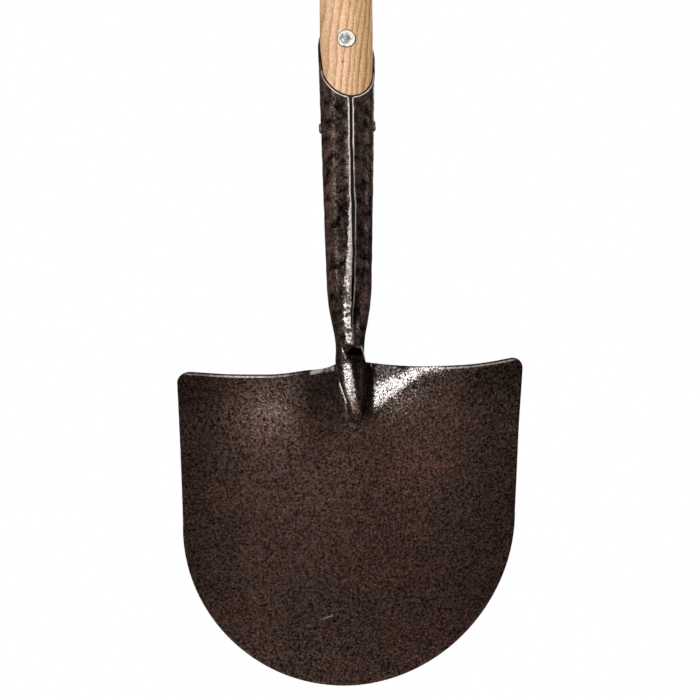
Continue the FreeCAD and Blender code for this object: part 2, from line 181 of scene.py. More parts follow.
def blade_distance(x, y, z):
    """The dished sheet, trimmed to its outline, with a rounded rim."""
    down = down_the_blade(y, z)
    out = -math.cos(BLADE_LIFT) * (y - BLADE_SETBACK) + math.sin(BLADE_LIFT) * z

    part = down / BLADE_LENGTH
    height = x * x / (2 * DISH_RADIUS) - BELLY_DEPTH * 4 * part * (1 - part)
    lean = np.hypot(x / DISH_RADIUS, BELLY_DEPTH * 4 * (1 - 2 * part) / BLADE_LENGTH)
    across = np.abs(x)
    edge = top_edge(x)
    height = height - neck_hollow(x, down - edge)
    height = height + 0.12 * unevenness(x, y * 0, z, BROAD_WAVES)
    height = height + 0.03 * unevenness(x, y * 0, z, HAMMER_WAVES)
    sheet = np.abs(out - height) / np.sqrt(1 + lean * lean) - BLADE_THICKNESS / 2

    top = edge - down
    flank = np.minimum(down, FLANK_END)
    narrowing = (SHOULDER_HALF - FLANK_HALF) / (FLANK_END - CORNER_DEPTH)
    side = across - (SHOULDER_HALF - (flank - CORNER_DEPTH) * narrowing)
    side = side - 1.2 * (x > 0) * (1 - ease(down, CORNER_DEPTH, 70.0))
    below = np.maximum(down - FLANK_END, 0.0)
    depth = BLADE_LENGTH - FLANK_END
    reach = np.hypot(across / FLANK_HALF, below / depth)
    steep = np.hypot(across / FLANK_HALF ** 2, below / depth ** 2)
    point = (reach - 1) * reach / np.maximum(steep, 1e-6)
    side = np.where(down > FLANK_END, point, side)
    outline = round_both(side, top, CORNER_ROUNDING)
    return round_both(sheet, outline, RIM_ROUNDING)


def down_the_blade(y, z):
    """How far a point lies down the blade's slope from the shoulder level."""
    return -math.sin(BLADE_LIFT) * (y - BLADE_SETBACK) - math.cos(BLADE_LIFT) * z


def top_edge(x):
    """How far down the blade its top edge lies: a little lower and wavier on the left."""
    across = np.abs(x)
    even = TOP_AT_NECK + 0.2326 * across - 0.00105 * across * across + 0.8 * ease(x, 60.0, 100.0)
    lower = 0.3 + 0.9 * bump(x, -50.0, 18.0) + 1.4 * bump(x, -20.0, 9.0) + 0.9 * bump(x, -121.0, 7.0)
    return even + lower * (x < 0.0) * ease(-x, 8.0, 16.0)


def drop_below_edge(x, y, z):
    """How far down the blade from its top edge."""
    return down_the_blade(y, z) - top_edge(x)


def neck_hollow(x, drop):
    """How much deeper the sheet is pressed beside the ridge: a ramp from the top edge to a floor."""
    ramp = HOLLOW_SLOPE * np.maximum(drop, -4.0)
    left = 0.27 * np.maximum(40.0 + x, 0.0)
    right = 0.152 * np.maximum(63.0 - x, 0.0)
    floor = np.minimum(np.where(x < 0.0, left, right), HOLLOW_LIMIT)
    floor = smooth_max(floor - 0.8, np.zeros_like(floor), 2.0)
    depth = smooth_min(ramp, floor, 1.6)
    return depth * np.exp(-(np.maximum(drop - 38.0, 0.0) / 52.0) ** 2)


def socket_radius(z):
    """The outside of the rolled socket: neck, waist and long cone."""
    waist = NECK_RADIUS + 0.19 * (z - 12.0)
    cone = 16.1 + 0.0272 * (z - 50.0)
    return smooth_max(NECK_RADIUS, smooth_min(waist, cone, 2.2), 1.6)


def seam_turn(z):
    """How far round from the front the seam lies, in radians: it wanders as it rises."""
    wander = SEAM_TURN + 4.0 * bump(z, 88.0, 45.0) - 3.0 * bump(z, 26.0, 16.0) + 4.0 * bump(z, 6.0, 12.0)
    wander = wander + 0.35 * np.sin(z / 5.3) + 0.25 * np.sin(z / 2.9 + 1.0)
    return np.radians(wander)


def turn_from_seam(x, y, z):
    """The turn about the shaft from the seam, in radians, positive to the right."""
    turn = np.arctan2(x, -y) - seam_turn(z)
    return (turn + math.pi) % (2 * math.pi) - math.pi


def seam_half_gap(z):
    """Half the width of the open seam, which closes towards the pocket at its foot."""
    uneven = 0.25 * np.sin(z / 14.0) * ease(z, 40.0, 90.0) * (1 - ease(z, 120.0, 150.0))
    return (SEAM_GAP / 2 * (0.35 + 0.65 * ease(z, 22.0, 60.0)) + uneven) * ease(z, 6.0, 22.0) - 0.02


def mouth_height(turn):
    """The mouth: slanting up from the front, steep at the cheeks, then back to the tongue's end."""
    back = -MOUTH_RADIUS * np.cos(turn)
    front, cheek, tongue = (height + slope * (back - offset) for offset, height, slope in MOUTH_SLOPES)
    return smooth_max(front, smooth_min(cheek, tongue, 4.0), 4.0)


def socket_distance(x, y, z):
    """The rolled wall, cut by its slanted mouth and its open seam, over a solid neck."""
    away = np.hypot(x, y)
    radius = socket_radius(z)
    turn = turn_from_seam(x, y, z)
    round_it = turn * radius

    lip = bump(round_it, -3.4, 3.0) * ease(z, 14.0, 40.0) * (1 - ease(z, 80.0, 135.0))
    rolled = 0.45 * lip * (1 + 0.6 * np.sin(z / 4.1) * np.sin(z / 9.7 + 2.0))
    radius = radius + rolled + 0.12 * unevenness(x, y, z, HAMMER_WAVES)
    radius = radius - 0.5 * bump(round_it, 0.0, 2.2) * ease(z, 16.0, 60.0)

    outer = away - radius
    shell = np.abs(outer + WALL / 2) - WALL / 2

    mouth_level = mouth_height(turn)
    step = 0.02
    steepness = (mouth_height(turn + step) - mouth_height(turn - step)) / (2 * step * MOUTH_RADIUS)
    mouth = (z - mouth_level) / np.hypot(1.0, steepness)
    seam = seam_half_gap(z) - np.abs(round_it)
    ends = round_both(mouth, seam, MOUTH_CORNER_ROUNDING)
    rolled_wall = round_both(shell, ends, WALL_EDGE_ROUNDING)
    rolled_wall = np.maximum(rolled_wall, WALL_FOOT - z)

    solid_neck = np.maximum(smooth_max(outer, z - NECK_TOP, 2.0), NECK_FOOT - z)
    return smooth_min(rolled_wall, solid_neck, 0.6)


# The ridge at each drop below the shoulder level: where its crest stands, half its width,
# its middle across the blade, and where it ends behind.
RIDGE_DROPS = (-3.0, 2.0, 10.0, 20.0, 30.0, 40.0, 45.0, 47.0, 52.0)
RIDGE_FRONTS = (-9.4, -10.2, -8.9, -6.0, -1.4, 6.0, 11.0, 13.4, 14.0)
RIDGE_HALVES = (9.6, 10.5, 11.0, 9.4, 6.9, 4.2, 2.6, 2.1, 0.6)
RIDGE_MIDDLES = (0.0, 0.3, 1.2, 2.2, 3.4, 3.4, 2.6, 2.3, 1.4)
RIDGE_BACKS = (10.2, 11.0, 13.5, 16.3, 17.4, 17.4, 16.6, 16.0, 14.4)


def ridge_distance(x, y, z):
    """The spine that runs on from the neck and fades into the blade's face."""
    drop = -z
    front, half, middle, back = (np.interp(drop, RIDGE_DROPS, table).astype(np.float32)
                                 for table in (RIDGE_FRONTS, RIDGE_HALVES, RIDGE_MIDDLES, RIDGE_BACKS))
    core = front + half
    depth = y - np.clip(y, core, np.maximum(core, back - half))
    shape = np.hypot(x - middle, depth) - half
    return np.maximum(shape * 0.93, np.maximum(drop - RIDGE_DROPS[-1], -drop - 2.0))


def throat_distance(x, y, z):
    """The dark pocket where the seam runs out above the ridge."""
    turn = math.radians(THROAT_TURN)
    across = x * math.cos(turn) + y * math.sin(turn) - THROAT_SHIFT
    out = x * math.sin(turn) - y * math.cos(turn)
    narrow = 1 + 0.06 * np.maximum(z - 1.0, 0.0)
    wide = np.abs(across * narrow / THROAT_HALF_WIDTH) ** THROAT_SQUARENESS
    high = np.abs((z + 0.1) / THROAT_HALF_HEIGHT) ** THROAT_SQUARENESS
    window = (wide + high) ** (1 / THROAT_SQUARENESS)
    return np.maximum((window - 1) * 4.6, np.maximum(3.0 - out, out - 20.0))


def rivet_holes(x, y, z):
    """The cross rivet's hole and the strap rivet's hole."""
    cross = np.hypot(y, z - SIDE_RIVET_RISE) - RIVET_HOLE_RADIUS
    angle = math.radians(STRAP_RIVET_TURN)
    across = x * math.cos(angle) + y * math.sin(angle)
    strap = np.hypot(across, z - STRAP_RIVET_RISE) - RIVET_HOLE_RADIUS
    return np.minimum(cross, strap)


def forging_distance(x, y, z):
    """Distance to the forging's skin at points in millimetres from the shoulder level."""
    blade = blade_distance(x, y, z)
    neck = smooth_min(socket_distance(x, y, z), ridge_distance(x, y, z), 1.4)
    joined = smooth_min(blade, neck, 4.0)
    joined = smooth_max(joined, -throat_distance(x, y, z), 1.2)
    joined = np.maximum(joined, -rivet_holes(x, y, z))
    return joined


def sample_grid(low, high):
    """The distance at every voxel of a box, worked out a few layers at a time."""
    counts = np.ceil((np.array(high) - np.array(low)) / VOXEL).astype(int) + 1
    axes = [low[i] + VOXEL * np.arange(counts[i], dtype=np.float32) for i in range(3)]
    field = np.empty(counts, np.float32)
    for start in range(0, counts[0], 16):
        stop = min(start + 16, counts[0])
        x, y, z = np.meshgrid(axes[0][start:stop], axes[1], axes[2], indexing="ij")
        field[start:stop] = forging_distance(x, y, z)
    return field


def skin_normals(points):
    """Outward directions of the skin at points, from the slope of the distance."""
    step = 0.12
    slopes = []
    for axis in range(3):
        ahead, behind = points.copy(), points.copy()
        ahead[:, axis] += step
        behind[:, axis] -= step
        slopes.append(forging_distance(*ahead.T) - forging_distance(*behind.T))
    slope = np.stack(slopes, axis=1) / (2 * step)
    return slope, slope / np.maximum(np.linalg.norm(slope, axis=1), 1e-6)[:, None]


def settle_on_skin(points):
    """Moves points along the slope until they lie on the skin."""
    for _ in range(3):
        slope, _normal = skin_normals(points)
        gap = forging_distance(*points.T) / np.maximum((slope ** 2).sum(1), 0.25)
        points = points - slope * np.clip(gap, -0.4, 0.4)[:, None]
    return points


def mesh_object(name, points, faces):
    mesh = bpy.data.meshes.new(name)
    mesh.from_pydata(points, [], faces)
    mesh.validate()
    mesh.update()
    piece = bpy.data.objects.new(name, mesh)
    bpy.context.scene.collection.objects.link(piece)
    return piece


def apply_modifiers(piece):
    graph = bpy.context.evaluated_depsgraph_get()
    made = bpy.data.meshes.new_from_object(piece.evaluated_get(graph))
    old = piece.data
    piece.modifiers.clear()
    piece.data = made
    made.name = old.name + "_final"
    bpy.data.meshes.remove(old)


def make_forging():
    """The visible blade, ridge, neck and rolled socket, as one skin."""
    margin = 3.0
    low = [HEAD_LOW.x / MM - margin, HEAD_LOW.y / MM - margin, HEAD_LOW.z / MM - SHOULDER_Z - margin]
    high = [HEAD_HIGH.x / MM + margin, HEAD_HIGH.y / MM + margin, TONGUE_TOP + margin]
    field = sample_grid(low, high)
    band = 4.0
    grid = openvdb.FloatGrid(band)
    grid.copyFromArray(np.clip(field, -band, band))
    points, quads = grid.convertToQuads(0.0)
    points = points * VOXEL + np.array(low)
    piece = mesh_object("forging", points * MM, quads)
    thin = piece.modifiers.new("thin", "DECIMATE")
    thin.ratio = min(1.0, FACE_LIMIT / (2.0 * len(quads)))
    apply_modifiers(piece)
    mesh = piece.data
    co = np.empty(len(mesh.vertices) * 3, np.float32)
    mesh.vertices.foreach_get("co", co)
    points = settle_on_skin(co.reshape(-1, 3).astype(float) / MM)
    _slope, normals = skin_normals(points)
    placed = points * MM + np.array([0.0, 0.0, SHOULDER_Z * MM])
    mesh.vertices.foreach_set("co", placed.astype(np.float32).ravel())
    mesh.update()
    first = mesh.polygons[len(mesh.polygons) // 2]
    facing = np.array(first.normal) @ normals[first.vertices[0]]
    if facing < 0:
        mesh.flip_normals()
    mesh.polygons.foreach_set("use_smooth", [True] * len(mesh.polygons))
    mesh.normals_split_custom_set_from_vertices(normals.tolist())
    add_wear_and_painted_light(mesh, points)
    return piece


def add_wear_and_painted_light(mesh, points):
    """Stores where each point lies, how glossy the steel is there, and its painted highlights on partly
    worn metal, its painted shade, and its painted light and shade.
    """
    x, y, z = points.T
    on_blade = 1 - ease(z, -6.0, 2.0)
    spine_middle = -1.8 - 0.10 * (z + 5.0) + 0.12 * np.maximum(-26.0 - z, 0.0)
    store_places(mesh, x, y, z)
    store(mesh, "wear_and_highlight", np.clip(painted_highlight_mask(x, y, z, on_blade, spine_middle), 0.0, 1.0))
    store(mesh, "painted_shade", np.clip(painted_shade_mask(x, y, z, on_blade, spine_middle), 0.0, 1.0))
    store(mesh, "painted_light_and_tone", painted_light_mask(x, y, z))

    drop = drop_below_edge(x, y, z)
    # A painted highlight along a line just under the blade's top edge, on both sides of the neck.
    edge = 0.24 * ease(-x, 34.0, 50.0) + 0.55 * bump(x, -74.0, 20.0)
    edge = edge + 0.30 * ease(x, 66.0, 82.0) + 0.5 * bump(x, 70.0, 9.0)
    store(mesh, "painted_edge_highlight", edge * on_blade * (1 - ease(np.abs(x), 116.0, 121.0)))
    pressed = np.exp(-((drop / 34.0) ** 2 + (x / 56.0) ** 2) ** 1.5)
    store(mesh, "gloss", np.clip(np.maximum(pressed * on_blade, 0.45 * (1 - on_blade)), 0.0, 1.0))


def seam_place(x, y, z):
    """The turn from the seam, the distance from its lip, and which points are on the rolled wall."""
    turn = turn_from_seam(x, y, z)
    on_wall = (z > 7.0) & (np.hypot(x, y) > socket_radius(z) - 2.6)
    return turn, np.abs(turn) * socket_radius(z) - seam_half_gap(z), on_wall


def store_places(mesh, x, y, z):
    """Distances in millimetres from the seam, the mouth, the shoulder level and the top edge."""
    turn, from_seam, on_wall = seam_place(x, y, z)
    store(mesh, "from_seam", np.where(on_wall, np.clip(from_seam, -1.0, 14.0), 14.0))
    store(mesh, "side", np.clip(turn * socket_radius(z), -1.0, 1.0))
    near_front = np.abs(turn) < 1.35
    store(mesh, "from_mouth", np.where(near_front, np.clip(z - mouth_height(turn), -20.0, 20.0), -20.0))
    store(mesh, "rise", z)
    store(mesh, "drop", drop_below_edge(x, y, z))


def painted_highlight_mask(x, y, z, on_blade, spine_middle):
    """Painted highlights, partly worn metal: the fan right of the ridge, its crest, the left shoulder and
    the seam's left lip, with a painted sheen round the fan.
    """
    turn, from_seam, on_wall = seam_place(x, y, z)
    drop = drop_below_edge(x, y, z)
    ahead = y - (BLADE_SETBACK - 0.18 * down_the_blade(y, z))
    proud = np.maximum(1 - ease(ahead, -9.0, -4.0), ease(drop, 18.0, 26.0))
    face = y < np.interp(-z, RIDGE_DROPS, RIDGE_FRONTS) + 6.0
    on_ridge = on_blade * proud * face * (np.abs(x) < 14.0)

    # The fan of painted highlight right of the ridge, and a painted sheen round it.
    lower = np.maximum(35.5 - 0.77 * (x - 17.0), 8.0)
    upper = 13.4 - 0.42 * (x - 17.0)
    fan = ease(lower - drop, -6.0, 10.0) * ease(drop - upper, -9.0, 6.0)
    fan = fan * ease(x, 12.0, 17.0) * (1 - ease(x, 54.0, 86.0))
    halo = np.exp(-((x - 30.0) / 40.0) ** 2 - ((drop - 22.0) / 26.0) ** 2) * ease(x, 13.0, 20.0)
    # Painted highlight along the ridge's crest.
    spine = np.exp(-((x - spine_middle) / 3.7) ** 2) * ease(-z, 3.0, 10.0) * (1 - ease(-z, 22.0, 48.0))
    spine = spine * on_ridge
    # Painted sheen flecks on the left shoulder.
    painted_sheen_flecks = np.exp(-((x + 60.0) / 26.0) ** 2 - ((drop - 30.0) / 28.0) ** 2)
    wear_and_highlight = np.maximum.reduce([fan, 0.50 * halo, 1.5 * spine, 0.54 * painted_sheen_flecks])
    # Painted highlight on the seam's left lip, partly worn metal.
    lip = bump(from_seam, 1.5, 3.2) * (turn < 0.0) * ease(z, 12.0, 40.0) * (1 - ease(z, 150.0, 185.0))
    return np.where(z > 7.0, 0.62 * lip * on_wall, wear_and_highlight * on_blade)


def painted_shade_mask(x, y, z, on_blade, spine_middle):
    """Painted shade on the ridge's right flank and in the hollow left of it."""
    drop = drop_below_edge(x, y, z)
    dark_side = ease(x - spine_middle, 2.5, 5.5) * (1 - ease(x, 13.0, 16.0)) * (1 - ease(-z, 36.0, 50.0))
    valley = np.exp(-((x + 24.0) / 17.0) ** 2 - ((drop - 20.0) / 20.0) ** 2)
    return np.maximum(dark_side, 0.6 * valley) * on_blade


def painted_light_mask(x, y, z):
    """Painted light and shade on the scale: a paler left shoulder and middle as painted sheen, darker
    flanks and top corners as painted shade, paler cheeks on the socket as painted highlights, and a darker
    neck as painted shade.
    """
    drop = drop_below_edge(x, y, z)
    painted_sheen = np.exp(-((x + 63.0) / 30.0) ** 2 - ((drop - 34.0) / 30.0) ** 2)
    middle = np.exp(-((x - 8.0) / 55.0) ** 2 - ((drop - 75.0) / 35.0) ** 2)
    flanks = ease(np.abs(x), 62.0, 118.0)
    painted_light_and_tone = 1 + 0.8 * painted_sheen + 0.50 * middle - 0.32 * flanks - 0.12 * ease(x, 40.0, 90.0)
    painted_light_and_tone = painted_light_and_tone - 0.25 * ease(np.abs(x), 70.0, 100.0) * (1 - ease(drop, 10.0, 40.0))
    facing = np.degrees(np.arctan2(x, -y))
    cheeks = bump(facing, -48.0, 22.0) * 0.9 + ease(facing, 18.0, 40.0) * 0.55
    neck = 1 - 0.40 * (1 - ease(z, 4.0, 34.0))
    return np.where(z > 0.0, (0.80 + 1.1 * cheeks) * neck, painted_light_and_tone)


def store(mesh, name, values):
    layer = mesh.attributes.new(name, "FLOAT", "POINT")
    layer.data.foreach_set("value", values.astype(np.float32))


# ------------------------------------------------------------------ small pieces

def lathe(profile, steps=64):
    """A turned piece about Z from (radius, height) points, closed at both ends on the axis."""
    points, faces, rings = [], [], []
    for radius, height in profile:
        if radius < 1e-6:
            rings.append([len(points)] * steps)
            points.append((0.0, 0.0, height))
            continue
        rings.append([len(points) + i for i in range(steps)])
        for i in range(steps):
            angle = 2 * math.pi * i / steps
            points.append((radius * math.cos(angle), radius * math.sin(angle), height))
    pairs = list(zip(rings, rings[1:]))
    if profile[0] != profile[-1] and profile[0][0] > 1e-6:
        pairs.append((rings[-1], rings[0]))
    for lower, upper in pairs:
        for i in range(steps):
            j = (i + 1) % steps
            corners = [lower[i], lower[j], upper[j], upper[i]]
            face = [c for n, c in enumerate(corners) if c not in corners[:n]]
            if len(face) > 2:
                faces.append(face)
    return points, faces


def arc_points(radius, height, corner, start, stop, count=7):
    """Points round a corner of a profile: centre at (radius, height), angles in degrees."""
    angles = np.radians(np.linspace(start, stop, count))
    return [(radius + corner * math.cos(a), height + corner * math.sin(a)) for a in angles]


def lay_on_strap_line(points, start):
    """Puts points drawn along +Z on the strap rivet's line, from the front towards the back."""
    angle = math.radians(STRAP_RIVET_TURN + 90.0)
    along = np.array([math.cos(angle), math.sin(angle), 0.0])
    up = np.array([0.0, 0.0, 1.0])
    side = np.cross(up, along)
    p = np.array(points)
    height = SHOULDER_Z + STRAP_RIVET_RISE
    centre = along * start + up * height
    return (centre + p[:, :1] * side + p[:, 1:2] * up + p[:, 2:3] * along) * MM


def make_shaft():
    """The ash shaft: shaved to the socket below, a little full above it, softly rounded at its end."""
    foot, end = SHAFT_FOOT, SHAFT_END
    fine_from, fine_to, near_end = 180.0, 300.0, end - 30.0
    heights = list(np.arange(foot + 2.0, fine_from, 6.0)) + list(np.arange(fine_from, fine_to, 0.8))
    heights += list(np.arange(fine_to, near_end, 12.0))
    heights += list(np.arange(near_end, end - SHAFT_ROUNDING, 4.0))
    profile = [(0.0, foot), (float(shaft_radius(foot)) - 1.2, foot)]
    profile += [(float(shaft_radius(z)), z) for z in heights]
    top = float(shaft_radius(end)) - SHAFT_ROUNDING
    profile += arc_points(top, end - SHAFT_ROUNDING, SHAFT_ROUNDING, 0.0, 90.0, 12)
    profile += [(0.0, end)]
    points, faces = lathe(profile, SHAFT_STEPS)
    p = np.array(points)
    turn = np.arctan2(p[:, 1], p[:, 0])
    free = ease(p[:, 2], 275.0, 330.0) * (1 - ease(p[:, 2], end - 40.0, end - 15.0))
    hand = 0.10 * np.sin(2 * turn + p[:, 2] / 170.0) + 0.05 * np.sin(3 * turn - p[:, 2] / 95.0)
    size = 1 + free * hand / SHAFT_RADIUS
    p[:, 0] *= size
    p[:, 1] *= size
    p[:, 2] += SHOULDER_Z
    piece = mesh_object("shaft", p * MM, faces)
    shade_smooth(piece, 40.0)
    strap_turn = STRAP_RIVET_TURN + 90.0
    drills = [
        rod("washer_spot", SPOT_RADIUS, -DRILL_REACH, -SPOT_FACE, strap_turn, STRAP_RIVET_RISE),
        rod("strap_drill", DRILL_RADIUS, -DRILL_REACH, DRILL_REACH, strap_turn, STRAP_RIVET_RISE),
        rod("side_drill", DRILL_RADIUS, -DRILL_REACH, DRILL_REACH, 0.0, SIDE_RIVET_RISE),
    ]
    for drill in drills:
        cut = piece.modifiers.new(drill.name, "BOOLEAN")
        cut.operation, cut.solver, cut.object = "DIFFERENCE", "EXACT", drill
    apply_modifiers(piece)
    for drill in drills:
        bpy.data.objects.remove(drill)
    shade_smooth(piece, 40.0)
    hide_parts("ash_handle")
    return piece


def shaft_radius(z):
    """The shaft's radius: inside the socket's wall, full above the mouth, tapering to its end."""
    inside = socket_radius(z) - WALL - 0.15
    full = SHAFT_FOOT_RADIUS - (SHAFT_FOOT_RADIUS - SHAFT_RADIUS) * ease(z, 268.0, 312.0)
    full = full - SHAFT_TAPER * np.clip((z - 620.0) / 580.0, 0.0, 1.0)
    return np.where(z < 270.0, np.minimum(inside, full), full)


def rod(name, radius, start, stop, turn, rise, steps=48):
    """A plain cylinder across the shaft, to cut with."""
    points, faces = lathe([(0.0, start), (radius, start), (radius, stop), (0.0, stop)], steps)
    a = math.radians(turn)
    along = np.array([math.cos(a), math.sin(a), 0.0])
    side = np.array([-math.sin(a), math.cos(a), 0.0])
    up = np.array([0.0, 0.0, 1.0])
    p = np.array(points)
    placed = p[:, :1] * side + p[:, 1:2] * up + p[:, 2:3] * along + up * (SHOULDER_Z + rise)
    return mesh_object(name, placed * MM, faces)


def make_strap_washer():
    """A dished burr with soft edges and a shallow recess round the rivet's end."""
    profile = [(WASHER_HOLE_RADIUS, 0.98), (3.55, 0.95), (3.80, 0.35), (3.95, 0.10)]
    profile += [(4.1, 0.04), (5.8, 0.02)]
    profile += arc_points(5.95, 0.45, 0.42, -85.0, 30.0)
    profile += [(6.35, WASHER_DEPTH), (WASHER_HOLE_RADIUS, WASHER_DEPTH)]
    points, faces = lathe(profile)
    points = [list(p) for p in points]
    for p in points:
        p[0] += PEEN_SHIFT * float(1 - ease(math.hypot(p[0], p[1]), 4.1, 5.6))
    piece = mesh_object("dished_washer", lay_on_strap_line(points, -WASHER_FACE), faces)
    shade_smooth(piece, 40.0)
    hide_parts("strap_washer")
    return piece


def make_strap_rivet():
    """The rivet: a peened end in front, uneven from the hammer, and a round head behind."""
    peen = [(0.0, -PEEN_RISE)]
    for a in np.linspace(0.15, 1.5, 10):
        peen.append((PEEN_RADIUS * math.sin(a), -PEEN_RISE * math.cos(a) ** 0.8))
    peen += [(PEEN_RADIUS - 0.1, 0.45), (RIVET_RADIUS, 0.7)]
    grip = WASHER_FACE + STRAP_RIVET_SEAT
    head = [(RIVET_RADIUS, grip), (RIVET_HEAD_RADIUS - 0.1, grip)]
    for a in np.linspace(0.12, 1.45, 10):
        head.append((RIVET_HEAD_RADIUS * math.cos(a), grip + RIVET_HEAD_RISE * math.sin(a)))
    head += [(0.0, grip + RIVET_HEAD_RISE)]
    points, faces = lathe(peen + head)
    points = [list(p) for p in points]
    for p in points:
        if p[2] < 0.5:
            p[2] += 0.05 * math.sin(p[0] * 2.3 + 0.7) * math.cos(p[1] * 2.1 + 0.4)
            p[0] += PEEN_SHIFT
    piece = mesh_object("peened_rivet", lay_on_strap_line(points, -WASHER_FACE), faces)
    shade_smooth(piece, 40.0)
    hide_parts("strap_rivet")
    return piece


def shade_smooth(piece, angle):
    piece.data.update()
    piece.data.polygons.foreach_set("use_smooth", [True] * len(piece.data.polygons))
    piece.data.set_sharp_from_angle(angle=math.radians(angle))


# ------------------------------------------------------------------ materials

class Look:
    """A node material and short ways to add nodes to it. Its places are in metres."""

    def __init__(self, name):
        self.material = bpy.data.materials.new(name)
        self.material.use_nodes = True
        self.tree = self.material.node_tree
        self.shader = self.tree.nodes["Principled BSDF"]
        self.place = self.add("ShaderNodeTexCoord").outputs["Object"]

    def add(self, kind, **settings):
        node = self.tree.nodes.new(kind)
        for key, value in settings.items():
            setattr(node, key, value)
        return node

    def link(self, source, target):
        self.tree.links.new(source, target)

    def fill(self, node, name, value):
        if isinstance(value, bpy.types.NodeSocket):
            self.link(value, node.inputs[name])
        else:
            node.inputs[name].default_value = value

    def stretched(self, x, y, z):
        node = self.add("ShaderNodeMapping")
        node.inputs["Scale"].default_value = (x, y, z)
        self.link(self.place, node.inputs["Vector"])
        return node.outputs["Vector"]

    def noise(self, scale, detail=4.0, roughness=0.55, vector=None, distortion=0.0):
        node = self.add("ShaderNodeTexNoise")
        self.link(vector if vector is not None else self.place, node.inputs["Vector"])
        node.inputs["Scale"].default_value = scale
        node.inputs["Detail"].default_value = detail
        node.inputs["Roughness"].default_value = roughness
        node.inputs["Distortion"].default_value = distortion
        return node.outputs["Fac"]

    def span(self, value, low, high, to_low=0.0, to_high=1.0):
        """Maps low..high to to_low..to_high, held at both ends."""
        node = self.add("ShaderNodeMapRange")
        self.fill(node, "Value", value)
        for name, number in zip(("From Min", "From Max", "To Min", "To Max"),
                                (low, high, to_low, to_high)):
            node.inputs[name].default_value = number
        return node.outputs["Result"]

    def maths(self, operation, a, b=0.0):
        node = self.add("ShaderNodeMath", operation=operation)
        self.fill(node, 0, a)
        self.fill(node, 1, b)
        return node.outputs["Value"]

    def product(self, a, b):
        return self.maths("MULTIPLY", a, b)

    def plus(self, a, b):
        return self.maths("ADD", a, b)

    def minus(self, a, b):
        return self.maths("SUBTRACT", a, b)

    def higher(self, a, b):
        return self.maths("MAXIMUM", a, b)

    def hypotenuse(self, a, b):
        return self.maths("SQRT", self.plus(self.maths("POWER", a, 2.0), self.maths("POWER", b, 2.0)))

    def blend(self, factor, a, b, kind="MIX"):
        node = self.add("ShaderNodeMix", data_type="RGBA", blend_type=kind)
        for name, value in (("Factor", factor), ("A", a), ("B", b)):
            socket = [s for s in node.inputs if s.name == name and s.enabled][0]
            if isinstance(value, bpy.types.NodeSocket):
                self.link(value, socket)
            elif name == "Factor":
                socket.default_value = value
            else:
                socket.default_value = (*value, 1.0)
        return [s for s in node.outputs if s.enabled][0]

    def times(self, colour, factor):
        """A colour scaled by a number."""
        node = self.add("ShaderNodeVectorMath", operation="SCALE")
        self.link(colour, node.inputs[0])
        self.link(factor, node.inputs["Scale"])
        return node.outputs["Vector"]

    def attribute(self, name):
        return self.add("ShaderNodeAttribute", attribute_name=name).outputs["Fac"]

    def bumps(self, layers):
        """Stacks (height, distance in metres, strength) layers of bump onto the shader."""
        normal = None
        for height, distance, strength in layers:
            node = self.add("ShaderNodeBump")
            node.inputs["Strength"].default_value = strength
            node.inputs["Distance"].default_value = distance
            self.link(height, node.inputs["Height"])
            if normal is not None:
                self.link(normal, node.inputs["Normal"])
            normal = node.outputs["Normal"]
        self.link(normal, self.shader.inputs["Normal"])

    def set(self, **values):
        for name, value in values.items():
            socket = self.shader.inputs[name.replace("_", " ")]
            if isinstance(value, bpy.types.NodeSocket):
                self.link(value, socket)
            elif isinstance(value, tuple):
                socket.default_value = (*value, 1.0)
            else:
                socket.default_value = value


